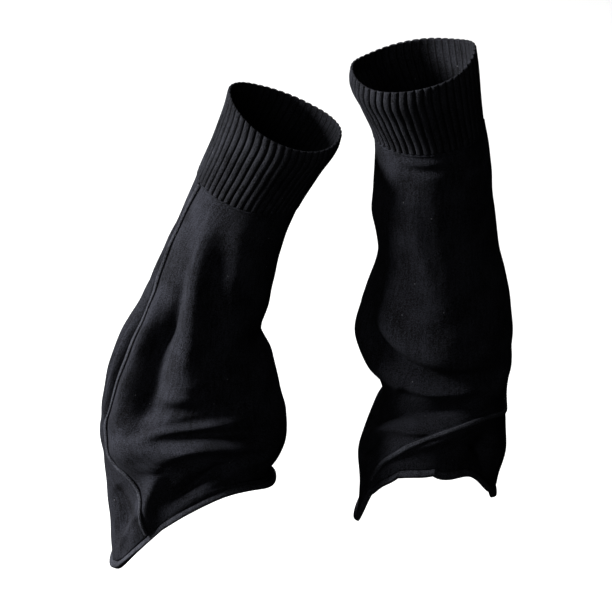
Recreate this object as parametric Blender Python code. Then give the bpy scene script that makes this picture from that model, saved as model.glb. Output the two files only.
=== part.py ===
"""A pair of knitted leg warmers with ribbed cuffs, in the hollow form they have when worn.

Each warmer is one ribbed cuff, one leg tube closed by an outer side seam, and one turned hem band.
World axes: +Z up, +X to the right and +Y to the back as seen from the front; lengths are in millimetres
until a mesh is made. The origin is the middle of the upright warmer's cuff.
"""
import bpy
import numpy as np

MM = 0.001

# Places down a warmer, measured along its middle line from the top edge of the cuff
CUFF_END = 75.0
HEM_START = 456.0
LENGTH = 465.0
JOINS = (CUFF_END, HEM_START)
JOIN_GAP = 0.4

# Cloth thicknesses, and how far each face lies from the cloth's own surface
LEG_WALL = 2.0
CUFF_GROOVE_OUT = -0.7
CUFF_CREST_OUT = 0.7
CUFF_INSIDE = -2.2
HEM_OUT = 1.2
HEM_INSIDE = -2.3

# Ribs of the cuff: a narrow groove and a broad crest, repeated all round
RIBS = 48
RIB_PROFILE = ((0.0, CUFF_GROOVE_OUT), (0.28, CUFF_CREST_OUT), (0.72, CUFF_CREST_OUT))

# Side seam, a raised ridge that lies on the leg
SEAM_WIDTH = 4.6
SEAM_LIFT = 0.4
SEAM_EDGE = 0.6
SEAM_CROWN = 1.5
SEAM_STEP = 6.0
SEAM_SAMPLES = 400
SEAM_CHECKS = (0.25, 0.5, 0.75)

# Mesh density: columns round the leg, and places of its rows
LEG_COLUMNS = 42
LEG_UPPER_STEP = 32.0
LEG_LOWER_START = 235.0
LEG_LOWER_STEP = 8.5
CUFF_ROWS = (0.0, 12.0, 30.0, 52.0)

# Numeric slopes of the cloth are taken over this many degrees and millimetres
SLOPE_DEGREES = 1.0
SLOPE_DOWN = 1.0

# One section a row. left and right are the section's outermost points in the front plane, front and back
# its depths to either side of mid_y, and front_z and back_z how far the middles of those halves are raised.
FORM_COLUMNS = (
    "down", "left_x", "left_z", "right_x", "right_z", "mid_y", "front", "back", "front_z", "back_z",
)

UPRIGHT_FORM = (
    (0, -59, 25, 48, 45, 0, 51, 54, -7, -9),
    (12, -60, 14, 50, 33, 0, 53, 56, -6, -8),
    (40, -51, -8, 53, 3, 0, 51, 55, -3, -5),
    (75, -39, -38, 57, -30, 0, 50, 56, 0, 0),
    (110, -38, -70, 63, -67, 0, 52, 60, 2, 0),
    (150, -40, -110, 67, -109, 0, 54, 64, 4, 0),
    (200, -34, -159, 74, -160, 0, 56, 64, 8, -2),
    (240, -44, -198, 83, -198, 0, 60, 62, 12, -4),
    (275, -48, -232, 87, -234, 0, 66, 60, 18, -4),
    (305, -39, -265, 87, -261, -2, 66, 60, 24, -4),
    (340, -28, -304, 83, -299, -4, 60, 62, 32, -2),
    (370, -42, -334, 85, -328, -6, 66, 66, 42, 0),
    (400, -50, -362, 86, -356, -8, 70, 68, 54, 0),
    (432, -48, -399, 80, -383, -10, 70, 68, 70, 2),
    (456, -50, -427, 77, -399, -10, 70, 68, 80, 4),
    (465, -51, -436, 75, -408, -10, 70, 68, 80, 4),
)

LEANING_FORM = (
    (0, -165, 3, -67, -38, 0, 51, 54, -8, -8),
    (12, -168, -9, -69, -46, 0, 53, 56, -7, -7),
    (40, -178, -40, -84, -71, 0, 50, 54, -4, -4),
    (75, -193, -77, -102, -102, -2, 48, 54, 0, 0),
    (110, -208, -114, -115, -132, -5, 50, 58, 0, 0),
    (150, -223, -150, -123, -163, -8, 52, 62, 0, 0),
    (200, -244, -196, -131, -200, -12, 54, 64, 0, 0),
    (240, -263, -231, -138, -228, -17, 56, 64, 0, 0),
    (275, -276, -265, -128, -251, -22, 60, 62, 2, 0),
    (305, -282, -296, -123, -273, -27, 62, 60, 3, 0),
    (340, -284, -325, -118, -295, -32, 64, 60, 5, 0),
    (370, -282, -353, -115, -316, -36, 60, 60, 10, -2),
    (400, -280, -386, -119, -338, -39, 58, 60, 22, -4),
    (432, -278, -422, -132, -357, -42, 58, 60, 36, -6),
    (456, -277, -453, -128, -363, -44, 57, 60, 45, -8),
    (465, -277, -463, -127, -371, -44, 56, 60, 46, -8),
)

# How squarely a section's raised front and back arch over the foot: 2 is round, 6 is square
UPRIGHT_ARCH = 5
LEANING_ARCH = 2.5

# One fold a row, on a curve through its start, middle and end. around is in degrees from the right side
# by the back. height is out from the cloth, a trough's is negative, and slump slides the cloth down.
FOLD_COLUMNS = (
    "around_1", "down_1", "around_2", "down_2", "around_3", "down_3", "width", "height", "slump",
)

UPRIGHT_FOLDS = (
    (206, 226, 246, 282, 318, 290, 16, 4, 4),
    (200, 228, 242, 306, 328, 320, 11, -8, 0),
    (182, 252, 223, 322, 322, 339, 12, 9, -2),
    (318, 339, 334, 322, 346, 296, 11, 5, 0),
    (186, 362, 245, 361, 300, 352, 11, -9, 0),
    (194, 384, 231, 384, 264, 389, 10, 4, 1),
    (188, 394, 208, 398, 230, 408, 10, -6, 0),
    (340, 358, 275, 400, 212, 447, 10, 4, 0),
    (316, 400, 316, 422, 312, 442, 11, -7, 0),
    (274, 460, 306, 460, 340, 458, 20, 0, 15),
    (216, 460, 230, 460, 244, 460, 12, 0, 8),
    (110, 108, 112, 165, 118, 222, 14, 3, 0),
    (72, 118, 66, 178, 60, 228, 13, -3, 0),
    (165, 246, 95, 262, 22, 284, 15, 5, 5),
    (166, 268, 95, 286, 14, 302, 9, -8, 0),
    (166, 290, 95, 308, 14, 320, 12, 8, 2),
    (160, 332, 95, 331, 22, 344, 9, -7, 0),
    (166, 356, 95, 355, 26, 366, 11, 6, 1),
    (158, 388, 95, 381, 30, 389, 9, -6, 0),
    (120, 396, 122, 424, 124, 450, 9, 3, 0),
    (60, 400, 58, 426, 56, 450, 9, 3, 0),
)

LEANING_FOLDS = (
    (231, 92, 248, 165, 272, 256, 13, 6, 0),
    (257, 100, 270, 165, 292, 250, 13, -4, 0),
    (227, 182, 245, 242, 240, 304, 14, -10, 0),
    (229, 202, 237, 262, 232, 326, 10, -9, 0),
    (224, 346, 234, 340, 248, 330, 10, 5, 0),
    (256, 236, 266, 254, 280, 270, 15, 5, 5),
    (240, 299, 266, 292, 314, 290, 10, -5, 0),
    (213, 354, 246, 314, 304, 324, 10, 6, 0),
    (244, 330, 276, 324, 324, 352, 10, -7, 0),
    (250, 356, 276, 339, 322, 371, 11, 6, 1),
    (216, 350, 232, 356, 250, 366, 13, 5, 0),
    (292, 376, 274, 404, 260, 436, 12, -7, 0),
    (247, 368, 242, 408, 239, 450, 9, 5, 0),
    (208, 386, 217, 412, 213, 440, 11, -8, 0),
    (300, 392, 318, 390, 338, 376, 10, 3, 0),
    (196, 460, 222, 460, 250, 460, 14, 0, 6),
    (104, 98, 94, 170, 82, 246, 14, 4, 0),
    (72, 110, 66, 178, 60, 256, 12, -4, 0),
    (132, 138, 128, 198, 120, 260, 11, -4, 0),
    (156, 322, 92, 298, 24, 310, 12, 7, 2),
    (150, 342, 90, 320, 18, 331, 9, -7, 0),
    (140, 364, 76, 345, 16, 352, 11, 5, 1),
    (124, 388, 66, 372, 22, 378, 9, -6, 0),
    (58, 388, 57, 418, 55, 448, 9, 3, 0),
    (118, 404, 121, 428, 123, 450, 9, 3, 0),
    (168, 392, 166, 420, 164, 446, 9, -3, 0),
)

# Curves are followed in this many straight steps, and a fold keeps this share of its height at its ends
FOLD_STEPS = 12
FOLD_END_SHARE = 0.25
FOLD_RADIUS = 62.0

# Where the side seam runs
SEAM_COLUMNS = ("down", "around")

UPRIGHT_SEAM = (
    (76, 12),
    (150, 10),
    (250, 8),
    (320, 2),
    (352, -10),
    (373, -46),
    (389, -83),
    (411, -107),
    (432, -124),
    (447, -144),
)

LEANING_SEAM = (
    (76, 201),
    (105, 194),
    (140, 193),
    (192, 203),
    (241, 211),
    (280, 208),
    (326, 201),
    (350, 208),
    (374, 225),
    (402, 235),
    (452, 238),
)

WARMERS = {
    "upright": (UPRIGHT_FORM, UPRIGHT_ARCH, UPRIGHT_FOLDS, UPRIGHT_SEAM),
    "leaning": (LEANING_FORM, LEANING_ARCH, LEANING_FOLDS, LEANING_SEAM),
}

# Colour and roughness of each kind of piece
FINISHES = {
    "cuff": ((0.020, 0.020, 0.023, 1.0), 0.92),
    "leg": ((0.018, 0.018, 0.021, 1.0), 0.95),
    "side_seam": ((0.022, 0.022, 0.025, 1.0), 0.9),
    "hem": ((0.024, 0.024, 0.027, 1.0), 0.92),
}


def smooth_table(columns, table, down):
    """Each column but the first, read at the given places down on a smooth curve through the rows."""
    rows = np.array(table, float)
    places = rows[:, 0]
    slopes = np.gradient(rows[:, 1:], places, axis=0)
    row = np.clip(np.searchsorted(places, down) - 1, 0, len(places) - 2)
    step = (places[row + 1] - places[row])[..., None]
    t = (down - places[row])[..., None] / step
    start, end = rows[row, 1:], rows[row + 1, 1:]
    leave, arrive = slopes[row] * step, slopes[row + 1] * step
    values = ((2 * t**3 - 3 * t**2 + 1) * start + (t**3 - 2 * t**2 + t) * leave
              + (3 * t**2 - 2 * t**3) * end + (t**3 - t**2) * arrive)
    return dict(zip(columns[1:], np.moveaxis(values, -1, 0)))


def plain_point(warmer, around, down):
    """Points of the warmer's smooth tube, before any fold."""
    form, arch, _, _ = WARMERS[warmer]
    at = smooth_table(FORM_COLUMNS, form, down)
    turn = np.radians(around)
    side, back = np.cos(turn), np.sin(turn)
    depth = np.where(back > 0, at["back"], at["front"])
    lift = np.where(back > 0, at["back_z"], at["front_z"]) * (1 - np.abs(side)**arch)
    x = (at["right_x"] + at["left_x"]) / 2 + (at["right_x"] - at["left_x"]) / 2 * side
    z = (at["right_z"] + at["left_z"]) / 2 + (at["right_z"] - at["left_z"]) / 2 * side + lift
    return np.stack([x, at["mid_y"] + depth * back, z], -1)


def unit(vectors):
    return vectors / np.linalg.norm(vectors, axis=-1, keepdims=True)


def directions(point_at, warmer, around, down):
    """Unit vectors of a surface: straight out of it, and along it towards the hem."""
    across = point_at(warmer, around + SLOPE_DEGREES, down) - point_at(warmer, around - SLOPE_DEGREES, down)
    along = point_at(warmer, around, down + SLOPE_DOWN) - point_at(warmer, around, down - SLOPE_DOWN)
    return unit(np.cross(along, across)), unit(along)


def through(first, middle, last, share):
    """Value at a share of the way along a curve through three values."""
    return (first * (1 - share) * (1 - 2 * share) + middle * 4 * share * (1 - share)
            + last * share * (2 * share - 1))


def fold_strength(fold, around, down):
    """How strongly a fold acts at each place, from 0 far from it to 1 on its middle."""
    shares = np.linspace(0, 1, FOLD_STEPS + 1)
    line_around = through(fold["around_1"], fold["around_2"], fold["around_3"], shares)
    line_down = through(fold["down_1"], fold["down_2"], fold["down_3"], shares)
    per_degree = np.radians(FOLD_RADIUS)
    near_around = (around - fold["around_2"] + 180) % 360 - 180 + fold["around_2"]
    nearest = np.full(np.shape(around), np.inf)
    share = np.zeros(np.shape(around))
    for k in range(FOLD_STEPS):
        step_a = (line_around[k + 1] - line_around[k]) * per_degree
        step_d = line_down[k + 1] - line_down[k]
        gap_a = (near_around - line_around[k]) * per_degree
        gap_d = down - line_down[k]
        t = np.clip((gap_a * step_a + gap_d * step_d) / (step_a**2 + step_d**2), 0, 1)
        distance = np.hypot(gap_a - t * step_a, gap_d - t * step_d)
        share = np.where(distance < nearest, (k + t) / FOLD_STEPS, share)
        nearest = np.minimum(nearest, distance)
    ends = FOLD_END_SHARE + (1 - FOLD_END_SHARE) * (1 - np.abs(2 * share - 1)**3)
    return ends * np.exp(-(nearest / fold["width"])**2)


def cloth_point(warmer, around, down):
    """Points of the warmer's folded surface."""
    normal, along = directions(plain_point, warmer, around, down)
    push = np.zeros(np.shape(around))
    slide = np.zeros(np.shape(around))
    for row in WARMERS[warmer][2]:
        fold = dict(zip(FOLD_COLUMNS, row))
        strength = fold_strength(fold, around, down)
        push += fold["height"] * strength
        slide += fold["slump"] * strength
    return plain_point(warmer, around, down) + normal * push[..., None] + along * slide[..., None]


def face_grid(warmer, arounds, downs, out):
    """Rows of rings: the folded surface moved out by a distance, or by one distance for each column.

    A ring at a join is drawn back by half the gap, so that the two pieces lie evenly apart.
    """
    around, down = np.meshgrid(arounds, downs)
    normal, _ = directions(cloth_point, warmer, around, down)
    grid = cloth_point(warmer, around, down) + normal * np.broadcast_to(out, around.shape)[..., None]
    for end, towards in ((0, 1), (-1, -1)):
        if downs[end] in JOINS:
            ring = np.roll(grid[end], -1, axis=0) - np.roll(grid[end], 1, axis=0)
            grid[end] += unit(np.cross(ring, normal[end])) * towards * JOIN_GAP / 2
    return grid


def knit_material(name, kind):
    colour, roughness = FINISHES[kind]
    material = bpy.data.materials.new(name)
    material.use_nodes = True
    shader = material.node_tree.nodes["Principled BSDF"]
    shader.inputs["Base Color"].default_value = colour
    shader.inputs["Roughness"].default_value = roughness
    shader.inputs["Metallic"].default_value = 0.0
    return material


def add_solid(warmer, kind, points, faces):
    """One named object from points in millimetres."""
    name = f"{warmer}_{kind}"
    mesh = bpy.data.meshes.new(name)
    mesh.from_pydata((points * MM).tolist(), [], faces)
    mesh.materials.append(knit_material(name, kind))
    mesh.shade_smooth()
    mesh.validate()
    solid = bpy.data.objects.new(name, mesh)
    bpy.context.scene.collection.objects.link(solid)
    return solid


def tube_wall(warmer, kind, outside, inside):
    """A hollow tube open at both ends: down its outside, and back up its inside."""
    rings = np.concatenate([outside, inside[::-1]])
    count, columns = rings.shape[:2]
    faces = []
    for i in range(count):
        below = (i + 1) % count
        for j in range(columns):
            beside = (j + 1) % columns
            a, b = i * columns + j, i * columns + beside
            c, d = below * columns + beside, below * columns + j
            faces += [(a, c, b), (a, d, c)]
    return add_solid(warmer, kind, rings.reshape(-1, 3), faces)


def make_cuff(warmer):
    """The cuff's ribs are raised in its outer face, over a plain inside."""
    shares = np.array([share for share, _ in RIB_PROFILE])
    outs = np.array([out for _, out in RIB_PROFILE])
    arounds = ((np.arange(RIBS)[:, None] + shares) * 360 / RIBS).ravel()
    downs = np.append(CUFF_ROWS, CUFF_END)
    outside = face_grid(warmer, arounds, downs, np.tile(outs, RIBS))
    inside = face_grid(warmer, arounds, downs[[0, 2, 4]], CUFF_INSIDE)
    return tube_wall(warmer, "cuff", outside, inside)


def leg_rows():
    """Places of the leg's rows: sparse where the cloth is smooth, close where it is folded."""
    upper_count = round((LEG_LOWER_START - CUFF_END) / LEG_UPPER_STEP) + 1
    lower_count = round((HEM_START - LEG_LOWER_START) / LEG_LOWER_STEP) + 1
    upper = np.linspace(CUFF_END, LEG_LOWER_START, upper_count)
    lower = np.linspace(LEG_LOWER_START, HEM_START, lower_count)
    return np.concatenate([upper, lower[1:]])


def leg_columns():
    return np.arange(LEG_COLUMNS) * 360 / LEG_COLUMNS


def make_leg(warmer):
    """The leg tube; its outer face is returned too, because the seam lies on it."""
    outside = face_grid(warmer, leg_columns(), leg_rows(), 0.0)
    inside = face_grid(warmer, leg_columns(), leg_rows(), -LEG_WALL)
    tube_wall(warmer, "leg", outside, inside)
    return outside


def make_hem(warmer):
    downs = np.array([HEM_START, (HEM_START + LENGTH) / 2, LENGTH])
    outside = face_grid(warmer, leg_columns(), downs, HEM_OUT)
    inside = face_grid(warmer, leg_columns(), downs[[0, 2]], HEM_INSIDE)
    return tube_wall(warmer, "hem", outside, inside)


def panel_point(panel, around, down):
    """Point on the leg's own outer facets, and the way out of the facet there."""
    rows = leg_rows()
    i = int(np.clip(np.searchsorted(rows, down) - 1, 0, len(rows) - 2))
    share_down = (down - rows[i]) / (rows[i + 1] - rows[i])
    column = (around % 360) * LEG_COLUMNS / 360
    j = int(column) % LEG_COLUMNS
    share_around = column - int(column)
    beside = (j + 1) % LEG_COLUMNS
    a, b, c, d = panel[i, j], panel[i, beside], panel[i + 1, beside], panel[i + 1, j]
    if share_around > share_down:
        return a + share_around * (b - a) + share_down * (c - b), unit(np.cross(c - b, b - a))
    return a + share_down * (d - a) + share_around * (c - d), unit(np.cross(d - a, c - d))


def seam_path(warmer):
    """Degrees round and places down of the side seam, at even steps along the cloth."""
    table = WARMERS[warmer][3]
    places = np.linspace(table[0][0], table[-1][0], SEAM_SAMPLES)
    degrees = smooth_table(SEAM_COLUMNS, table, places)["around"]
    points = cloth_point(warmer, degrees, places)
    run = np.append(0, np.cumsum(np.linalg.norm(np.diff(points, axis=0), axis=-1)))
    stations = np.linspace(0, run[-1], round(run[-1] / SEAM_STEP) + 1)
    return np.interp(stations, run, degrees), np.interp(stations, run, places)


def seam_sides(warmer, degrees, places):
    """How many degrees and millimetres down lead from the seam's middle line to its right side."""
    points = cloth_point(warmer, degrees, places)
    normal, _ = directions(cloth_point, warmer, degrees, places)
    sideways = unit(np.cross(np.gradient(points, axis=0), normal)) * SEAM_WIDTH / 2
    per_degree = cloth_point(warmer, degrees + 1, places) - points
    per_down = cloth_point(warmer, degrees, places + 1) - points
    steps = [
        np.linalg.lstsq(np.stack(pair, 1), side, rcond=None)[0]
        for *pair, side in zip(per_degree, per_down, sideways)
    ]
    return np.array(steps).T


def seam_line(panel, degrees, places):
    """Points of one line along the seam, the ways out there, and lifts that keep the line off the panel."""
    spots = [panel_point(panel, around, down) for around, down in zip(degrees, places)]
    points, outs = (np.array(part) for part in zip(*spots))
    lifts = np.full(len(points), SEAM_LIFT)
    for k in range(len(points) - 1):
        for share in SEAM_CHECKS:
            mix = np.array([1 - share, share])
            under, out = panel_point(panel, mix @ degrees[k:k + 2], mix @ places[k:k + 2])
            raised = points[k:k + 2] + outs[k:k + 2] * lifts[k:k + 2, None]
            lack = SEAM_LIFT - (mix @ raised - under) @ out
            lifts[k:k + 2] += max(lack, 0)
    return points, outs, lifts


def make_side_seam(warmer, panel):
    """A low ridge along the seam, made from the panel's points, moved out."""
    degrees, places = seam_path(warmer)
    turn, drop = seam_sides(warmer, degrees, places)
    left = seam_line(panel, degrees - turn, places - drop)
    middle = seam_line(panel, degrees, places)
    right = seam_line(panel, degrees + turn, places + drop)
    outline = (
        (left, 0),
        (middle, 0),
        (right, 0),
        (right, SEAM_EDGE),
        (middle, SEAM_CROWN),
        (left, SEAM_EDGE),
    )
    rings = [points + outs * (lifts + height)[:, None] for (points, outs, lifts), height in outline]
    return capped_strip(warmer, "side_seam", np.stack(rings, 1))


def capped_strip(warmer, kind, rings):
    """A solid swept through its rings, closed by a flat face at each end."""
    count, sides = rings.shape[:2]
    faces = []
    for i in range(count - 1):
        for j in range(sides):
            beside = (j + 1) % sides
            a, b = i * sides + j, i * sides + beside
            c, d = (i + 1) * sides + beside, (i + 1) * sides + j
            faces += [(a, c, b), (a, d, c)]
    faces.append(tuple(range(sides)))
    faces.append(tuple(reversed(range((count - 1) * sides, count * sides))))
    return add_solid(warmer, kind, rings.reshape(-1, 3), faces)


def clear_scene():
    for thing in list(bpy.data.objects):
        bpy.data.objects.remove(thing, do_unlink=True)


def main():
    clear_scene()
    for warmer in WARMERS:
        make_cuff(warmer)
        panel = make_leg(warmer)
        make_side_seam(warmer, panel)
        make_hem(warmer)


main()
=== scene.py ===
"""Looks of a pair of knitted leg warmers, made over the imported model.

Each plain solid gives way to a finer one on the same surface, with its ribs, creases, edges and stitches.
World axes: +Z up, +X to the right and +Y to the back as seen from the front; lengths are in millimetres
until a mesh is made.
"""

import bpy
import numpy as np
from mathutils.kdtree import KDTree
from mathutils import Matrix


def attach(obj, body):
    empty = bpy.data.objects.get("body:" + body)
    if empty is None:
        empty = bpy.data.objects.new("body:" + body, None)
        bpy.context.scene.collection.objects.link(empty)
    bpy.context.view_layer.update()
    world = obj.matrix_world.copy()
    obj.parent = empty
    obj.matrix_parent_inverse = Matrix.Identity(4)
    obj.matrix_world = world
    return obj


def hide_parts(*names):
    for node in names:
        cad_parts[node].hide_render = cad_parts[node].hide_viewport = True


MM = 0.001

# Places down a warmer, measured along its middle line from the top edge of the cuff
CUFF_END = 75.0
HEM_START = 456.0
LENGTH = 465.0

# How far each face lies from the cloth's own surface
LEG_INSIDE = -2.0
CUFF_GROOVE_OUT = -1.4
CUFF_CREST_OUT = 0.8
CUFF_INSIDE = -2.2
CUFF_INSIDE_RIB = 0.4
HEM_GROOVE_OUT = -0.9
HEM_PUFF_OUT = 3.0
HEM_INSIDE = -2.3

# Ribs of the cuff: how flat their crests are, and how far they wander, in degrees
RIBS = 48
RIB_FLATNESS = 2.6
RIB_SHOULDER = 0.75
RIB_WANDER = 0.1

# How full the hem's puff is: 1 is a plain half wave, and less is squarer
HEM_ROUNDNESS = 0.8

# Rounded edges of the cuff and the hem
CUFF_LIP = 1.4
HEM_LIP = 1.7
LIP_STEPS = 6

# Linking ridge where the leg is joined to the cuff
LINK_DOWN = 1.5
LINK_WIDTH = 0.9
LINK_OUT = 0.7

# Stitches that hold the turned hem, and how far they stand out
HEM_STITCH_DOWN = 1.6
HEM_STITCH_WIDTH = 0.8
HEM_STITCH_OUT = 0.35
HEM_STITCHES = 180

# Side seam: a ridge of linked stitches between two narrow grooves in the leg
SEAM_WIDTH = 4.6
SEAM_UNDER = 0.05
SEAM_CROWN = 2.4
SEAM_STITCH = 2.6
SEAM_STITCH_OUT = 0.35
SEAM_STEP = 0.8
SEAM_SAMPLES = 700
SEAM_SHARES = (-1.0, -0.86, -0.64, -0.38, -0.12, 0.12, 0.38, 0.64, 0.86, 1.0)
GROOVE_AWAY = 3.3
GROOVE_WIDTH = 1.2
GROOVE_OUT = -0.6

# Mesh density
CUFF_COLUMNS = RIBS * 12
CUFF_STEP = 1.5
LEG_COLUMNS = 330
LEG_STEP = 1.7
LEG_JOIN_STEP = 0.5
LEG_JOIN_ROWS = 8
HEM_COLUMNS = 900
HEM_STEP = 0.6
INSIDE_STEP = 8.0

# Knit gauge: wales round the cloth, and the height of one course
CUFF_WALES = RIBS * 4
LEG_WALES = 180
COURSE = 2.0

# Name of the map that holds the wale and the course of each point
KNIT_MAP = "Knit"

# Rows whose places down agree to this many digits are worked out once
ROW_DIGITS = 3

# Soft unevenness all over the cloth
WAVES = 28
WAVE_TURNS = 12
WAVE_SHORTEST = 30.0
WAVE_OUT = 0.22
CUFF_WAVE_SHARE = 0.3
CUFF_EASE = 40.0
SEEDS = {"upright": 5, "leaning": 11}

# Numeric slopes of the cloth are taken over this many degrees and millimetres
SLOPE_DEGREES = 1.0
SLOPE_DOWN = 1.0

# One section a row. left and right are the section's outermost points in the front plane, front and back
# its depths to either side of mid_y, and front_z and back_z how far the middles of those halves are raised.
FORM_COLUMNS = (
    "down", "left_x", "left_z", "right_x", "right_z", "mid_y", "front", "back", "front_z", "back_z",
)

UPRIGHT_FORM = (
    (0, -59, 25, 48, 45, 0, 51, 54, -7, -9),
    (12, -60, 14, 50, 33, 0, 53, 56, -6, -8),
    (40, -51, -8, 53, 3, 0, 51, 55, -3, -5),
    (75, -39, -38, 57, -30, 0, 50, 56, 0, 0),
    (110, -38, -70, 63, -67, 0, 52, 60, 2, 0),
    (150, -40, -110, 67, -109, 0, 54, 64, 4, 0),
    (200, -34, -159, 74, -160, 0, 56, 64, 8, -2),
    (240, -44, -198, 83, -198, 0, 60, 62, 12, -4),
    (275, -48, -232, 87, -234, 0, 66, 60, 18, -4),
    (305, -39, -265, 87, -261, -2, 66, 60, 24, -4),
    (340, -28, -304, 83, -299, -4, 60, 62, 32, -2),
    (370, -42, -334, 85, -328, -6, 66, 66, 42, 0),
    (400, -50, -362, 86, -356, -8, 70, 68, 54, 0),
    (432, -48, -399, 80, -383, -10, 70, 68, 70, 2),
    (456, -50, -427, 77, -399, -10, 70, 68, 80, 4),
    (465, -51, -436, 75, -408, -10, 70, 68, 80, 4),
)

LEANING_FORM = (
    (0, -165, 3, -67, -38, 0, 51, 54, -8, -8),
    (12, -168, -9, -69, -46, 0, 53, 56, -7, -7),
    (40, -178, -40, -84, -71, 0, 50, 54, -4, -4),
    (75, -193, -77, -102, -102, -2, 48, 54, 0, 0),
    (110, -208, -114, -115, -132, -5, 50, 58, 0, 0),
    (150, -223, -150, -123, -163, -8, 52, 62, 0, 0),
    (200, -244, -196, -131, -200, -12, 54, 64, 0, 0),
    (240, -263, -231, -138, -228, -17, 56, 64, 0, 0),
    (275, -276, -265, -128, -251, -22, 60, 62, 2, 0),
    (305, -282, -296, -123, -273, -27, 62, 60, 3, 0),
    (340, -284, -325, -118, -295, -32, 64, 60, 5, 0),
    (370, -282, -353, -115, -316, -36, 60, 60, 10, -2),
    (400, -280, -386, -119, -338, -39, 58, 60, 22, -4),
    (432, -278, -422, -132, -357, -42, 58, 60, 36, -6),
    (456, -277, -453, -128, -363, -44, 57, 60, 45, -8),
    (465, -277, -463, -127, -371, -44, 56, 60, 46, -8),
)

# How squarely a section's raised front and back arch over the foot: 2 is round, 6 is square
UPRIGHT_ARCH = 5
LEANING_ARCH = 2.5

# One fold a row, on a curve through its start, middle and end. around is in degrees from the right side
# by the back. height is out from the cloth, a trough's is negative, and slump slides the cloth down.
FOLD_COLUMNS = (
    "around_1", "down_1", "around_2", "down_2", "around_3", "down_3", "width", "height", "slump",
)

UPRIGHT_FOLDS = (
    (206, 226, 246, 282, 318, 290, 16, 4, 4),
    (200, 228, 242, 306, 328, 320, 11, -8, 0),
    (182, 252, 223, 322, 322, 339, 12, 9, -2),
    (318, 339, 334, 322, 346, 296, 11, 5, 0),
    (186, 362, 245, 361, 300, 352, 11, -9, 0),
    (194, 384, 231, 384, 264, 389, 10, 4, 1),
    (188, 394, 208, 398, 230, 408, 10, -6, 0),
    (340, 358, 275, 400, 212, 447, 10, 4, 0),
    (316, 400, 316, 422, 312, 442, 11, -7, 0),
    (274, 460, 306, 460, 340, 458, 20, 0, 15),
    (216, 460, 230, 460, 244, 460, 12, 0, 8),
    (110, 108, 112, 165, 118, 222, 14, 3, 0),
    (72, 118, 66, 178, 60, 228, 13, -3, 0),
    (165, 246, 95, 262, 22, 284, 15, 5, 5),
    (166, 268, 95, 286, 14, 302, 9, -8, 0),
    (166, 290, 95, 308, 14, 320, 12, 8, 2),
    (160, 332, 95, 331, 22, 344, 9, -7, 0),
    (166, 356, 95, 355, 26, 366, 11, 6, 1),
    (158, 388, 95, 381, 30, 389, 9, -6, 0),
    (120, 396, 122, 424, 124, 450, 9, 3, 0),
    (60, 400, 58, 426, 56, 450, 9, 3, 0),
)

LEANING_FOLDS = (
    (231, 92, 248, 165, 272, 256, 13, 6, 0),
    (257, 100, 270, 165, 292, 250, 13, -4, 0),
    (227, 182, 245, 242, 240, 304, 14, -10, 0),
    (229, 202, 237, 262, 232, 326, 10, -9, 0),
    (224, 346, 234, 340, 248, 330, 10, 5, 0),
    (256, 236, 266, 254, 280, 270, 15, 5, 5),
    (240, 299, 266, 292, 314, 290, 10, -5, 0),
    (213, 354, 246, 314, 304, 324, 10, 6, 0),
    (244, 330, 276, 324, 324, 352, 10, -7, 0),
    (250, 356, 276, 339, 322, 371, 11, 6, 1),
    (216, 350, 232, 356, 250, 366, 13, 5, 0),
    (292, 376, 274, 404, 260, 436, 12, -7, 0),
    (247, 368, 242, 408, 239, 450, 9, 5, 0),
    (208, 386, 217, 412, 213, 440, 11, -8, 0),
    (300, 392, 318, 390, 338, 376, 10, 3, 0),
    (196, 460, 222, 460, 250, 460, 14, 0, 6),
    (104, 98, 94, 170, 82, 246, 14, 4, 0),
    (72, 110, 66, 178, 60, 256, 12, -4, 0),
    (132, 138, 128, 198, 120, 260, 11, -4, 0),
    (156, 322, 92, 298, 24, 310, 12, 7, 2),
    (150, 342, 90, 320, 18, 331, 9, -7, 0),
    (140, 364, 76, 345, 16, 352, 11, 5, 1),
    (124, 388, 66, 372, 22, 378, 9, -6, 0),
    (58, 388, 57, 418, 55, 448, 9, 3, 0),
    (118, 404, 121, 428, 123, 450, 9, 3, 0),
    (168, 392, 166, 420, 164, 446, 9, -3, 0),
)

# Finer creases, in the folds' columns
UPRIGHT_CREASES = (
    (235, 92, 262, 93, 290, 91, 4, -2.0, 0),
    (238, 84, 265, 85, 292, 83, 4, 1.2, 0),
    (300, 96, 322, 99, 345, 95, 4, -0.9, 0),
    (250, 112, 254, 165, 262, 222, 7, 1.2, 0),
    (282, 120, 286, 170, 292, 230, 8, -1.0, 0),
    (212, 130, 216, 180, 214, 226, 6, 0.9, 0),
    (192, 268, 222, 312, 270, 334, 5, 1.4, 0),
    (232, 312, 226, 332, 206, 348, 5, 2.0, 0),
    (262, 336, 290, 344, 330, 346, 4, -1.2, 0),
    (192, 364, 240, 364, 292, 355, 5, -2.5, 0),
    (222, 388, 248, 391, 284, 389, 5, 1.6, 0),
    (198, 396, 214, 410, 226, 428, 5, -1.8, 0),
    (300, 372, 320, 366, 342, 368, 4, 1.0, 0),
    (298, 420, 312, 436, 324, 450, 5, -1.8, 0),
    (334, 405, 340, 425, 338, 446, 4, 1.0, 0),
    (20, 100, 26, 150, 24, 210, 7, 0.9, 0),
    (48, 118, 44, 170, 50, 225, 6, -0.9, 0),
    (96, 92, 122, 95, 146, 92, 4, -1.6, 0),
    (88, 250, 60, 262, 30, 270, 5, -1.4, 0),
    (150, 276, 120, 284, 84, 296, 4, 1.2, 0),
    (140, 312, 104, 318, 66, 326, 4, -1.6, 0),
    (60, 342, 40, 352, 18, 350, 4, 1.2, 0),
    (150, 372, 110, 368, 78, 374, 4, -1.4, 0),
    (96, 402, 100, 424, 96, 446, 5, -1.3, 0),
    (36, 396, 32, 420, 36, 444, 4, 1.2, 0),
    (146, 400, 150, 424, 146, 446, 5, 1.2, 0),
)

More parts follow.
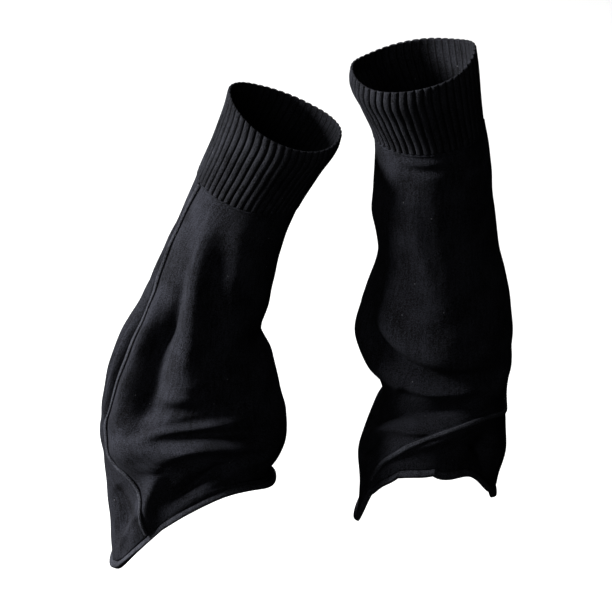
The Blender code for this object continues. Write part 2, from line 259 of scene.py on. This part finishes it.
LEANING_CREASES = (
    (236, 398, 230, 424, 228, 446, 4, 1.6, 0),
    (234, 426, 217, 438, 205, 450, 4, 2.2, 0),
    (246, 370, 242, 408, 239, 450, 5, 3.0, 0),
    (290, 378, 273, 406, 261, 432, 6, -2.0, 0),
    (228, 88, 232, 128, 236, 176, 5, -1.2, 0),
    (194, 84, 188, 140, 198, 192, 2.6, -5.5, 0),
    (198, 190, 205, 250, 197, 322, 2.6, -5.0, 0),
    (234, 160, 237, 192, 236, 228, 8, -5.5, 0),
    (186, 110, 181, 156, 190, 206, 4, 2.6, 0),
    (178, 100, 174, 150, 182, 204, 4, -2.4, 0),
    (212, 190, 219, 252, 214, 316, 6, 3.6, 0),
    (198, 180, 205, 246, 201, 306, 4, -4.2, 0),
    (191, 200, 198, 256, 194, 316, 4, 3.4, 0),
    (183, 210, 190, 262, 187, 320, 4, -3.4, 0),
    (176, 226, 182, 272, 180, 330, 4, 2.0, 0),
    (222, 329, 254, 309, 300, 307, 6, -6.5, 0),
    (248, 284, 262, 282, 286, 288, 9, 4.0, 0),
    (176, 256, 180, 300, 178, 346, 4, -2.2, 0),
    (218, 334, 236, 318, 258, 311, 5, 1.6, 0),
    (262, 326, 284, 326, 318, 350, 5, -3.0, 0),
    (258, 350, 280, 341, 316, 372, 5, 1.6, 0),
    (214, 318, 221, 328, 230, 318, 5, -1.6, 0),
    (190, 290, 188, 324, 195, 356, 5, 1.6, 0),
    (110, 100, 100, 150, 92, 200, 6, -1.0, 0),
    (60, 104, 52, 160, 48, 220, 6, 1.0, 0),
    (150, 150, 148, 200, 140, 250, 6, 1.0, 0),
    (120, 286, 90, 282, 50, 288, 5, -1.5, 0),
    (146, 352, 110, 336, 60, 336, 4, 1.4, 0),
    (100, 366, 70, 358, 30, 366, 4, -1.3, 0),
    (90, 396, 92, 420, 90, 446, 5, -1.4, 0),
    (36, 392, 34, 420, 30, 440, 4, 1.2, 0),
    (150, 398, 146, 424, 148, 448, 5, 1.2, 0),
)

# Curves are followed in this many straight steps, and a fold keeps this share of its height at its ends
FOLD_STEPS = 12
FOLD_END_SHARE = 0.25
FOLD_RADIUS = 62.0
FOLD_REACH = 3.2

# Where the side seam runs
SEAM_COLUMNS = ("down", "around")

UPRIGHT_SEAM = (
    (76, 12),
    (150, 10),
    (250, 8),
    (320, 2),
    (352, -10),
    (373, -46),
    (389, -83),
    (411, -107),
    (432, -124),
    (447, -144),
)

LEANING_SEAM = (
    (76, 201),
    (105, 194),
    (140, 193),
    (192, 203),
    (241, 211),
    (280, 208),
    (326, 201),
    (350, 208),
    (374, 225),
    (402, 235),
    (452, 238),
)

WARMERS = {
    "upright": {
        "form": UPRIGHT_FORM,
        "arch": UPRIGHT_ARCH,
        "folds": UPRIGHT_FOLDS + UPRIGHT_CREASES,
        "seam": UPRIGHT_SEAM,
    },
    "leaning": {
        "form": LEANING_FORM,
        "arch": LEANING_ARCH,
        "folds": LEANING_FOLDS + LEANING_CREASES,
        "seam": LEANING_SEAM,
    },
}

# Yarn colours in the hollows and on the crests of the stitches, and of the lint caught on the cloth. The
# darker hollows are painted shade, and the dark colour also fills the rib grooves as painted shade
YARN_AND_PAINTED_LIGHT = {
    "rib_knit": ((0.001, 0.001, 0.001, 1.0), (0.027, 0.028, 0.035, 1.0)),
    "leg_knit": ((0.001, 0.001, 0.001, 1.0), (0.025, 0.026, 0.034, 1.0)),
    # Painted light: the seam's and hem's yarn is the same black knit made about twice as light, for the
    # light caught by the raised seam and the puffed hem
    "seam_knit": ((0.004, 0.004, 0.005, 1.0), (0.054, 0.056, 0.068, 1.0)),
    "hem_knit": ((0.004, 0.004, 0.005, 1.0), (0.052, 0.054, 0.066, 1.0)),
}
LINT = (0.10, 0.10, 0.11, 1.0)
ROUGHNESS = 0.95
SPECULAR = 0.08

# Sizes in the cloth materials, in stitches or for each metre. Streaks are uneven wales, a few stitches long.
STITCH_SLANT = 0.7
STITCH_VALLEY = 0.6
STREAKS = (0.9, 0.09, 1.0)
FIBRE_SCALE = 1100.0
PATCH_SCALE = 38.0

# How much each kind of unevenness adds to the cloth's relief and to its tone; the stitches' share of the
# tone is painted shade in their hollows
RELIEF_SHARES = {"stitch": 0.25, "streak": 0.7, "fibre": 1.8}
TONE_AND_SHADE_SHARES = {"stitch": 0.15, "streak": 0.8, "fibre": 2.6, "patch": 1.0}

# How quickly the painted shade in a rib's groove fades towards the rib, and how deep the relief looks, in
# metres
GROOVE_SHADE_EDGE = 2.2
BUMP_DEPTH = 0.0009
BUMP_STRENGTH = 0.8

# How closely and how large lint lies, and the share of the cloth's cells that have none
LINT_SCALE = 85.0
LINT_SIZE = 0.05
LINT_RARITY = 0.72

# Camera and lights; places are in metres
CAMERA_AT = (-0.098, -2.5981, 1.287)
CAMERA_TILT = 60.0
CAMERA_LENS = 196.08
CAMERA_SENSOR = 36.0
AIM = (-0.098, 0.0, -0.213)
LIGHTS = {
    "key_light": ((-3.5, 0.12, 1.5), 1.3, 520.0),
    "front_light": ((-1.3, -4.3, 1.4), 2.6, 32.0),
    "top_light": ((0.3, 1.8, 3.4), 3.0, 40.0),
}
ROOM_COLOUR = (0.95, 0.97, 1.0, 1.0)
ROOM_STRENGTH = 0.95
FLOOR_DOWN = -0.85
FLOOR_REACH = 9.0
FLOOR_COLOUR = (0.88, 0.88, 0.88, 1.0)
FLOOR_ROUGHNESS = 0.95
FLOOR_SPECULAR = 0.1


def smooth_table(columns, table, down):
    """Each column but the first, read at the given places down on a smooth curve through the rows."""
    rows = np.array(table, float)
    places = rows[:, 0]
    slopes = np.gradient(rows[:, 1:], places, axis=0)
    row = np.clip(np.searchsorted(places, down) - 1, 0, len(places) - 2)
    step = (places[row + 1] - places[row])[..., None]
    t = (down - places[row])[..., None] / step
    start, end = rows[row, 1:], rows[row + 1, 1:]
    leave, arrive = slopes[row] * step, slopes[row + 1] * step
    values = ((2 * t**3 - 3 * t**2 + 1) * start + (t**3 - 2 * t**2 + t) * leave
              + (3 * t**2 - 2 * t**3) * end + (t**3 - t**2) * arrive)
    return dict(zip(columns[1:], np.moveaxis(values, -1, 0)))


def plain_point(warmer, around, down):
    """Points of the warmer's smooth tube, before any fold."""
    at = smooth_table(FORM_COLUMNS, WARMERS[warmer]["form"], down)
    turn = np.radians(around)
    side, back = np.cos(turn), np.sin(turn)
    depth = np.where(back > 0, at["back"], at["front"])
    lift = np.where(back > 0, at["back_z"], at["front_z"]) * (1 - np.abs(side)**WARMERS[warmer]["arch"])
    x = (at["right_x"] + at["left_x"]) / 2 + (at["right_x"] - at["left_x"]) / 2 * side
    z = (at["right_z"] + at["left_z"]) / 2 + (at["right_z"] - at["left_z"]) / 2 * side + lift
    return np.stack([x, at["mid_y"] + depth * back, z], -1)


def unit(vectors):
    """The same directions, each one long."""
    return vectors / np.linalg.norm(vectors, axis=-1, keepdims=True)


def directions(point_at, warmer, around, down):
    """Unit vectors of a surface: straight out of it, and along it towards the hem."""
    across = point_at(warmer, around + SLOPE_DEGREES, down) - point_at(warmer, around - SLOPE_DEGREES, down)
    along = point_at(warmer, around, down + SLOPE_DOWN) - point_at(warmer, around, down - SLOPE_DOWN)
    return unit(np.cross(along, across)), unit(along)


def through(first, middle, last, share):
    """Value at a share of the way along a curve through three values."""
    return (first * (1 - share) * (1 - 2 * share) + middle * 4 * share * (1 - share)
            + last * share * (2 * share - 1))


def fold_strength(fold, around, down):
    """How strongly a fold acts at each place, from 0 far from it to 1 on its middle."""
    shares = np.linspace(0, 1, FOLD_STEPS + 1)
    line_around = through(fold["around_1"], fold["around_2"], fold["around_3"], shares)
    line_down = through(fold["down_1"], fold["down_2"], fold["down_3"], shares)
    per_degree = np.radians(FOLD_RADIUS)
    near_around = (around - fold["around_2"] + 180) % 360 - 180 + fold["around_2"]
    reach = FOLD_REACH * fold["width"]
    close = ((near_around > line_around.min() - reach / per_degree)
             & (near_around < line_around.max() + reach / per_degree)
             & (down > line_down.min() - reach) & (down < line_down.max() + reach))
    strength = np.zeros(np.shape(around))
    strength[close] = line_strength(line_around, line_down, near_around[close], down[close], fold["width"])
    return strength


def line_strength(line_around, line_down, around, down, width):
    """How strongly a fold's line acts on the places near it, less towards its ends."""
    per_degree = np.radians(FOLD_RADIUS)
    nearest = np.full(len(around), np.inf)
    share = np.zeros(len(around))
    for k in range(FOLD_STEPS):
        step_a = (line_around[k + 1] - line_around[k]) * per_degree
        step_d = line_down[k + 1] - line_down[k]
        gap_a = (around - line_around[k]) * per_degree
        gap_d = down - line_down[k]
        t = np.clip((gap_a * step_a + gap_d * step_d) / (step_a**2 + step_d**2), 0, 1)
        distance = np.hypot(gap_a - t * step_a, gap_d - t * step_d)
        share = np.where(distance < nearest, (k + t) / FOLD_STEPS, share)
        nearest = np.minimum(nearest, distance)
    ends = FOLD_END_SHARE + (1 - FOLD_END_SHARE) * (1 - np.abs(2 * share - 1)**3)
    return ends * np.exp(-(nearest / width)**2)


def soft_waves(seed, around, down):
    """Smooth bumps and hollows of about unit height, the same on each run."""
    rng = np.random.default_rng(seed)
    turn = np.radians(around)
    total = np.zeros(np.shape(around))
    for _ in range(WAVES):
        turns = rng.integers(-WAVE_TURNS, WAVE_TURNS + 1)
        per_mm = rng.uniform(0, 2 * np.pi / WAVE_SHORTEST)
        total += np.cos(turns * turn + per_mm * down + rng.uniform(0, 2 * np.pi))
    return total * np.sqrt(2 / WAVES)


def cloth_point(warmer, around, down):
    """Points of the warmer's folded, creased and slightly uneven surface."""
    normal, along = directions(plain_point, warmer, around, down)
    ease = np.clip((down - CUFF_END) / CUFF_EASE, 0, 1)
    share = CUFF_WAVE_SHARE + (1 - CUFF_WAVE_SHARE) * ease
    push = WAVE_OUT * share * soft_waves(SEEDS[warmer], around, down)
    slide = np.zeros(np.shape(around))
    for row in WARMERS[warmer]["folds"]:
        fold = dict(zip(FOLD_COLUMNS, row))
        strength = fold_strength(fold, around, down)
        push += fold["height"] * strength
        slide += fold["slump"] * strength
    return plain_point(warmer, around, down) + normal * push[..., None] + along * slide[..., None]


def surface_at(warmer, around, down):
    """Points and outward directions of the cloth at any places."""
    normals, _ = directions(cloth_point, warmer, around, down)
    return cloth_point(warmer, around, down), normals


def even_turns(count):
    """Degrees round of evenly spread columns."""
    return np.arange(count) * 360 / count


def wall_rows(start, end, step, lip_start=0.0, lip_end=0.0):
    """Rows of a closed wall: down its outside, round its lower edge, up its inside, round its upper edge.

    Each row has its place down and its share of the way from the outer face to the inner one.
    """
    first, last = start + lip_start, end - lip_end
    outside = np.linspace(first, last, round((last - first) / step) + 1)
    inside = np.linspace(last, first, max(round((last - first) / INSIDE_STEP), 2) + 1)
    turn = np.linspace(0, np.pi, LIP_STEPS + 2)[1:-1]
    rows = [(outside, np.zeros(len(outside)))]
    if lip_end:
        rows.append((last + lip_end * np.sin(turn), (1 - np.cos(turn)) / 2))
    rows.append((inside, np.ones(len(inside))))
    if lip_start:
        rows.append((first - lip_start * np.sin(turn), (1 + np.cos(turn)) / 2))
    downs, shares = (np.concatenate(parts) for parts in zip(*rows))
    return downs, shares


def wall_surface(warmer, columns, downs):
    """Points and outward directions of the cloth for columns round it and rows in any order."""
    places, order = np.unique(np.round(downs, ROW_DIGITS), return_inverse=True)
    around, down = np.meshgrid(columns, places)
    points = cloth_point(warmer, around, down)
    across = np.roll(points, -1, axis=1) - np.roll(points, 1, axis=1)
    normals = unit(np.cross(np.gradient(points, axis=0), across))
    return points[order], normals[order]


def wall_rings(points, normals, outer, inner, shares):
    """Rings of a wall, each row its share of the way from the outer face to the inner one."""
    out = outer + (inner - outer) * shares[:, None]
    return points + normals * out[..., None]


def seam_turn(warmer, down):
    """Degrees round of the side seam at each place down, held steady past its ends."""
    table = WARMERS[warmer]["seam"]
    inside = np.clip(down, table[0][0], table[-1][0])
    return smooth_table(SEAM_COLUMNS, table, inside)["around"]


def knit_coordinates(warmer, around, down, wales):
    """Wales counted round from the seam, and courses counted down, for each point of a wall."""
    across = (around - seam_turn(warmer, down)) * wales / 360
    return np.stack([across, -down / COURSE], -1)


def wall_faces(count, columns):
    """Four-sided faces of a closed wall's rings, and whether each corner lies past the last column."""
    i, j = np.meshgrid(np.arange(count), np.arange(columns), indexing="ij")
    below, beside = (i + 1) % count, (j + 1) % columns
    corners = [i * columns + j, below * columns + j, below * columns + beside, i * columns + beside]
    faces = np.stack(corners, -1).reshape(-1, 4)
    wraps = np.repeat((j == columns - 1).reshape(-1, 1), 4, axis=1)
    wraps[:, :2] = False
    return faces, wraps


def add_object(name, data):
    """A new object in the scene."""
    thing = bpy.data.objects.new(name, data)
    bpy.context.scene.collection.objects.link(thing)
    return thing


def add_piece(name, points, faces, knit, material):
    """One smooth object from points in millimetres, with its knit coordinates at each face corner."""
    mesh = bpy.data.meshes.new(name)
    mesh.from_pydata((points.reshape(-1, 3) * MM).tolist(), [], faces.tolist())
    mesh.shade_smooth()
    layer = mesh.uv_layers.new(name=KNIT_MAP)
    layer.uv.foreach_set("vector", knit.astype(np.float32).ravel())
    mesh.materials.append(material)
    return add_object(name, mesh)


def add_wall(warmer, kind, rings, knit, wales, material):
    """A closed tube wall that stands for its CAD solid."""
    count, columns = rings.shape[:2]
    faces, wraps = wall_faces(count, columns)
    corners = knit.reshape(-1, 2)[faces]
    corners[..., 0] += wraps * wales
    piece = add_piece(f"{warmer}_{kind}_cloth", rings, faces, corners, material)
    dress(piece, f"{warmer}_{kind}")
    return piece


def dress(piece, node):
    """The piece stands for a CAD solid: that solid is hidden and the piece hangs from the root body."""
    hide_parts(node)
    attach(piece, "root")


def rib_height(phase):
    """Height of a rib across its width, from 0 in the grooves to 1 on its crest."""
    return (1 - np.abs(2 * phase - 1)**RIB_FLATNESS)**RIB_SHOULDER


def make_cuff(warmer, material):
    """The ribbed cuff, with a rounded top edge."""
    downs, shares = wall_rows(0.0, CUFF_END, CUFF_STEP, lip_start=CUFF_LIP)
    columns = even_turns(CUFF_COLUMNS)
    around, down = np.meshgrid(columns, downs)
    around = around + RIB_WANDER * soft_waves(SEEDS[warmer] + 1, around, down)
    points, normals = surface_at(warmer, around, down)
    height = np.broadcast_to(rib_height(columns * RIBS / 360 % 1), down.shape)
    outer = CUFF_GROOVE_OUT + (CUFF_CREST_OUT - CUFF_GROOVE_OUT) * height
    inner = CUFF_INSIDE + CUFF_INSIDE_RIB * height
    knit = np.stack([np.broadcast_to(columns * CUFF_WALES / 360, down.shape), -down / COURSE], -1)
    rings = wall_rings(points, normals, outer, inner, shares)
    cuff = add_wall(warmer, "cuff", rings, knit, CUFF_WALES, material)


def leg_rows():
    """Rows of the leg's wall, with a row on the inside and closer ones on the outside under the cuff."""
    join = CUFF_END + np.arange(LEG_JOIN_ROWS) * LEG_JOIN_STEP
    downs, shares = wall_rows(join[-1] + LEG_STEP, HEM_START, LEG_STEP)
    downs = np.concatenate([downs, [CUFF_END], join])
    shares = np.concatenate([shares, [1.0], np.zeros(len(join))])
    return downs, shares


def make_leg(warmer, material):
    """The leg tube, with a linking ridge under the cuff and a groove at each side of its seam."""
    downs, shares = leg_rows()
    columns = even_turns(LEG_COLUMNS)
    points, normals = wall_surface(warmer, columns, downs)
    down = np.broadcast_to(downs[:, None], points.shape[:2])
    outer = LINK_OUT * np.exp(-((down - CUFF_END - LINK_DOWN) / LINK_WIDTH)**2)
    outer = outer + seam_grooves(warmer, points)
    rings = wall_rings(points, normals, outer, LEG_INSIDE, shares)
    knit = knit_coordinates(warmer, np.broadcast_to(columns, down.shape), down, LEG_WALES)
    return add_wall(warmer, "leg", rings, knit, LEG_WALES, material)


def seam_path(warmer):
    """Degrees round, places down and run along the cloth of the side seam, at even steps."""
    table = WARMERS[warmer]["seam"]
    places = np.linspace(table[0][0], table[-1][0], SEAM_SAMPLES)
    degrees = seam_turn(warmer, places)
    points = cloth_point(warmer, degrees, places)
    run = np.append(0, np.cumsum(np.linalg.norm(np.diff(points, axis=0), axis=-1)))
    stations = np.linspace(0, run[-1], round(run[-1] / SEAM_STEP) + 1)
    return np.interp(stations, run, degrees), np.interp(stations, run, places), stations


def seam_grooves(warmer, points):
    """How far the leg is drawn in beside its seam, for points of the leg."""
    degrees, places, _ = seam_path(warmer)
    middle = cloth_point(warmer, degrees, places)
    tree = KDTree(len(middle))
    for k, point in enumerate(middle):
        tree.insert(point, k)
    tree.balance()
    away = np.array([tree.find(point)[2] for point in points.reshape(-1, 3)]).reshape(points.shape[:2])
    return GROOVE_OUT * np.exp(-((away - GROOVE_AWAY) / GROOVE_WIDTH)**2)


def seam_sides(warmer, degrees, places):
    """How many degrees and millimetres down lead from the seam's middle line to its right side."""
    points, normals = surface_at(warmer, degrees, places)
    sideways = unit(np.cross(np.gradient(points, axis=0), normals)) * SEAM_WIDTH / 2
    per_degree = cloth_point(warmer, degrees + 1, places) - points
    per_down = cloth_point(warmer, degrees, places + 1) - points
    steps = [
        np.linalg.lstsq(np.stack(pair, 1), side, rcond=None)[0]
        for *pair, side in zip(per_degree, per_down, sideways)
    ]
    return np.array(steps).T


def make_seam(warmer, material):
    """The side seam's raised ridge of linked stitches, closed underneath."""
    degrees, places, run = seam_path(warmer)
    turn, drop = seam_sides(warmer, degrees, places)
    shares = np.array(SEAM_SHARES)
    around = degrees[:, None] + turn[:, None] * shares
    down = places[:, None] + drop[:, None] * shares
    points, normals = surface_at(warmer, around, down)
    under = points + normals * SEAM_UNDER
    stitch = np.abs(np.sin(np.pi * (run[:, None] / SEAM_STITCH + np.abs(shares))))
    crown = np.sqrt(np.clip(1 - shares**2, 0, 1))
    raised = under + normals * (crown * (SEAM_CROWN + SEAM_STITCH_OUT * (stitch - 1)))[..., None]
    rings = np.concatenate([under[:, ::-1][:, :-1], raised[:, :-1]], axis=1)
    count, sides = rings.shape[:2]
    faces = strip_faces(count, sides)
    knit = np.stack([
        np.broadcast_to(np.arange(sides) / len(shares) * 2, (count, sides)),
        np.broadcast_to((run / COURSE)[:, None], (count, sides)),
    ], -1).reshape(-1, 2)[faces]
    seam = add_piece(f"{warmer}_side_seam_ridge", rings, faces, knit, material)
    dress(seam, f"{warmer}_side_seam")
    return seam


def strip_faces(count, sides):
    """Four-sided faces of a long strip swept through its rings."""
    i, j = np.meshgrid(np.arange(count - 1), np.arange(sides), indexing="ij")
    beside = (j + 1) % sides
    corners = [i * sides + j, (i + 1) * sides + j, (i + 1) * sides + beside, i * sides + beside]
    return np.stack(corners, -1).reshape(-1, 4)


def make_hem(warmer, material):
    """The turned hem: a puffed band under a groove, with a row of stitches and a rounded lower edge."""
    downs, shares = wall_rows(HEM_START, LENGTH, HEM_STEP, lip_end=HEM_LIP)
    columns = even_turns(HEM_COLUMNS)
    points, normals = wall_surface(warmer, columns, downs)
    down = np.broadcast_to(downs[:, None], points.shape[:2])
    rise = np.clip((down - HEM_START) / (LENGTH - HEM_START), 0, 1)
    puff = np.sin(np.pi * rise)**HEM_ROUNDNESS
    outer = HEM_GROOVE_OUT + (HEM_PUFF_OUT - HEM_GROOVE_OUT) * puff
    stitches = np.abs(np.sin(np.radians(columns) * HEM_STITCHES / 2))
    row = np.exp(-((down - HEM_START - HEM_STITCH_DOWN) / HEM_STITCH_WIDTH)**2)
    outer = outer + HEM_STITCH_OUT * row * (stitches - 0.5)
    rings = wall_rings(points, normals, outer, HEM_INSIDE, shares)
    knit = knit_coordinates(warmer, np.broadcast_to(columns, down.shape), down, LEG_WALES)
    hem = add_wall(warmer, "hem", rings, knit, LEG_WALES, material)


def math_node(tree, operation, *values):
    """Result of one sum on numbers or other results."""
    node = tree.nodes.new("ShaderNodeMath")
    node.operation = operation
    for socket, value in zip(node.inputs, values):
        if isinstance(value, (int, float)):
            socket.default_value = value
        else:
            tree.links.new(value, socket)
    return node.outputs[0]


def texture_node(tree, kind, place, scale):
    """A texture of the given kind, with its scale, read at a place."""
    node = tree.nodes.new(kind)
    node.inputs["Scale"].default_value = scale
    tree.links.new(place, node.inputs["Vector"])
    return node


def mix_node(tree, factor, first, second):
    """Colour between two colours, each given as a colour or another node's result."""
    node = tree.nodes.new("ShaderNodeMix")
    node.data_type = "RGBA"
    tree.links.new(factor, node.inputs["Factor"])
    for name, value in (("A", first), ("B", second)):
        socket = [s for s in node.inputs if s.name == name and s.type == "RGBA"][0]
        if isinstance(value, tuple):
            socket.default_value = value
        else:
            tree.links.new(value, socket)
    return [s for s in node.outputs if s.type == "RGBA"][0]


def knit_place(tree):
    """Wale and course of each point of the cloth."""
    place = tree.nodes.new("ShaderNodeUVMap")
    place.uv_map = KNIT_MAP
    return place.outputs["UV"]


def wale_and_course(tree):
    """The same as two numbers: wales across, and courses down."""
    split = tree.nodes.new("ShaderNodeSeparateXYZ")
    tree.links.new(knit_place(tree), split.inputs["Vector"])
    return split.outputs["X"], split.outputs["Y"]


def stitch_height(tree):
    """Height of V-shaped knit stitches: two slanted strands in each wale, one pair a course."""
    wale, course = wale_and_course(tree)
    centred = math_node(tree, "SUBTRACT", math_node(tree, "FRACT", wale), 0.5)
    side = math_node(tree, "MULTIPLY", math_node(tree, "ABSOLUTE", centred), 2.0)
    strand = math_node(tree, "SINE", math_node(tree, "MULTIPLY", side, np.pi))
    slanted = math_node(tree, "ADD", course, math_node(tree, "MULTIPLY", side, STITCH_SLANT))
    wave = math_node(tree, "SINE", math_node(tree, "MULTIPLY", slanted, np.pi))
    rise = math_node(tree, "MULTIPLY", math_node(tree, "ABSOLUTE", wave), 1 - STITCH_VALLEY)
    return math_node(tree, "MULTIPLY", strand, math_node(tree, "ADD", rise, STITCH_VALLEY))


def streak_height(tree):
    """Uneven height of the wales, in streaks that run down the cloth."""
    stretch = tree.nodes.new("ShaderNodeMapping")
    stretch.inputs["Scale"].default_value = STREAKS
    tree.links.new(knit_place(tree), stretch.inputs["Vector"])
    return texture_node(tree, "ShaderNodeTexNoise", stretch.outputs["Vector"], 1.0).outputs["Fac"]


def rib_groove_painted_shade(tree):
    """Painted shade in the grooves between the ribs: 0 deep in a groove, and 1 on the ribs."""
    wale, _ = wale_and_course(tree)
    wave = math_node(tree, "SINE", math_node(tree, "MULTIPLY", wale, np.pi * RIBS / CUFF_WALES))
    rise = math_node(tree, "MULTIPLY", math_node(tree, "ABSOLUTE", wave), GROOVE_SHADE_EDGE)
    return math_node(tree, "MINIMUM", rise, 1.0)


def lint_mask(tree, place):
    """1 on the few small specks of lint, and 0 elsewhere."""
    cells = texture_node(tree, "ShaderNodeTexVoronoi", place, LINT_SCALE)
    split = tree.nodes.new("ShaderNodeSeparateColor")
    tree.links.new(cells.outputs["Color"], split.inputs["Color"])
    small = math_node(tree, "LESS_THAN", cells.outputs["Distance"], LINT_SIZE)
    rare = math_node(tree, "GREATER_THAN", split.outputs["Red"], LINT_RARITY)
    return math_node(tree, "MULTIPLY", small, rare)


def layered(tree, layers, shares):
    """A half, with each layer's share of its own unevenness added."""
    total = 0.5
    for name, share in shares.items():
        uneven = math_node(tree, "SUBTRACT", layers[name], 0.5)
        total = math_node(tree, "ADD", total, math_node(tree, "MULTIPLY", uneven, share))
    return total


def knit_material(slot):
    """Black knit: slanted stitches, loose fibres, faintly uneven dye and a little lint, with painted shade
    in the stitches' hollows and the rib grooves. The seam's and hem's copies are lighter, as painted light.
    """
    hollow, crest = YARN_AND_PAINTED_LIGHT[slot]
    material = bpy.data.materials.new(slot)
    material.use_nodes = True
    tree = material.node_tree
    shader = tree.nodes["Principled BSDF"]
    place = tree.nodes.new("ShaderNodeTexCoord").outputs["Object"]
    layers = {
        "stitch": stitch_height(tree),
        "streak": streak_height(tree),
        "fibre": texture_node(tree, "ShaderNodeTexNoise", place, FIBRE_SCALE).outputs["Fac"],
        "patch": texture_node(tree, "ShaderNodeTexNoise", place, PATCH_SCALE).outputs["Fac"],
    }
    height = layered(tree, layers, RELIEF_SHARES)
    # Painted shade: the stitch layer darkens the yarn in the stitches' hollows, and the other layers are
    # uneven dye and fibres
    tone = layered(tree, layers, TONE_AND_SHADE_SHARES)
    # Painted shade in the grooves between the cuff's ribs
    if slot == "rib_knit":
        tone = math_node(tree, "MULTIPLY", tone, rib_groove_painted_shade(tree))
    yarn = mix_node(tree, tone, hollow, crest)
    tree.links.new(mix_node(tree, lint_mask(tree, place), yarn, LINT), shader.inputs["Base Color"])
    bump = tree.nodes.new("ShaderNodeBump")
    bump.inputs["Strength"].default_value = BUMP_STRENGTH
    bump.inputs["Distance"].default_value = BUMP_DEPTH
    tree.links.new(height, bump.inputs["Height"])
    tree.links.new(bump.outputs["Normal"], shader.inputs["Normal"])
    shader.inputs["Roughness"].default_value = ROUGHNESS
    shader.inputs["Specular IOR Level"].default_value = SPECULAR
    return material


def make_warmer(warmer, materials):
    """All four pieces of one warmer."""
    make_cuff(warmer, materials["rib_knit"])
    leg = make_leg(warmer, materials["leg_knit"])
    seam = make_seam(warmer, materials["seam_knit"])
    make_hem(warmer, materials["hem_knit"])


def make_floor():
    """A plain pale floor a little below the hems."""
    mesh = bpy.data.meshes.new("floor")
    r = FLOOR_REACH
    corners = [(x, y, FLOOR_DOWN) for x, y in ((-r, -r), (r, -r), (r, r), (-r, r))]
    mesh.from_pydata(corners, [], [(0, 1, 2, 3)])
    material = bpy.data.materials.new("floor")
    material.use_nodes = True
    shader = material.node_tree.nodes["Principled BSDF"]
    shader.inputs["Base Color"].default_value = FLOOR_COLOUR
    shader.inputs["Roughness"].default_value = FLOOR_ROUGHNESS
    shader.inputs["Specular IOR Level"].default_value = FLOOR_SPECULAR
    mesh.materials.append(material)
    floor = add_object("floor", mesh)
    floor.visible_diffuse = False
    floor.visible_glossy = False


def add_light(name, at, size, power):
    """A square soft light that faces the warmers."""
    light = bpy.data.lights.new(name, "AREA")
    light.size = size
    light.energy = power
    lamp = add_object(name, light)
    lamp.location = at
    aim = np.array(AIM) - np.array(at)
    across = np.hypot(aim[0], aim[1])
    lamp.rotation_euler = (np.arctan2(across, -aim[2]), 0, np.arctan2(-aim[0], aim[1]))


def light_scene():
    """Soft light from the upper left, weak light from the front and the top, and a pale room.

    The room and the floor throw no light on the cloth, so that it stays as dark as in the photograph.
    """
    for name, (at, size, power) in LIGHTS.items():
        add_light(name, at, size, power)
    world = bpy.data.worlds.new("room")
    world.use_nodes = True
    background = world.node_tree.nodes["Background"]
    background.inputs["Color"].default_value = ROOM_COLOUR
    background.inputs["Strength"].default_value = ROOM_STRENGTH
    world.cycles_visibility.diffuse = False
    world.cycles_visibility.glossy = False
    bpy.context.scene.world = world
    bpy.context.scene.view_settings.view_transform = "Standard"


def add_camera():
    """The camera of the photograph: far away, and looking down on the front."""
    view = bpy.data.cameras.new("camera")
    view.sensor_width = CAMERA_SENSOR
    view.lens = CAMERA_LENS
    camera = add_object("camera", view)
    camera.location = CAMERA_AT
    camera.rotation_euler = (np.radians(CAMERA_TILT), 0, 0)
    bpy.context.scene.camera = camera


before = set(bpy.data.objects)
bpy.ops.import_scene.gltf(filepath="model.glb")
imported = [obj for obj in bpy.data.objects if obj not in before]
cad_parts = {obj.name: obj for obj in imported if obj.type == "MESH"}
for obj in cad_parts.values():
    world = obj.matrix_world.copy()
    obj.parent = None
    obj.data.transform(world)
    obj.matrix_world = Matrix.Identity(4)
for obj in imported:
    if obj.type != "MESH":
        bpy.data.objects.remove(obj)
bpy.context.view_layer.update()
add_camera()
knits = {slot: knit_material(slot) for slot in YARN_AND_PAINTED_LIGHT}
for warmer_name in WARMERS:
    make_warmer(warmer_name, knits)
make_floor()
light_scene()
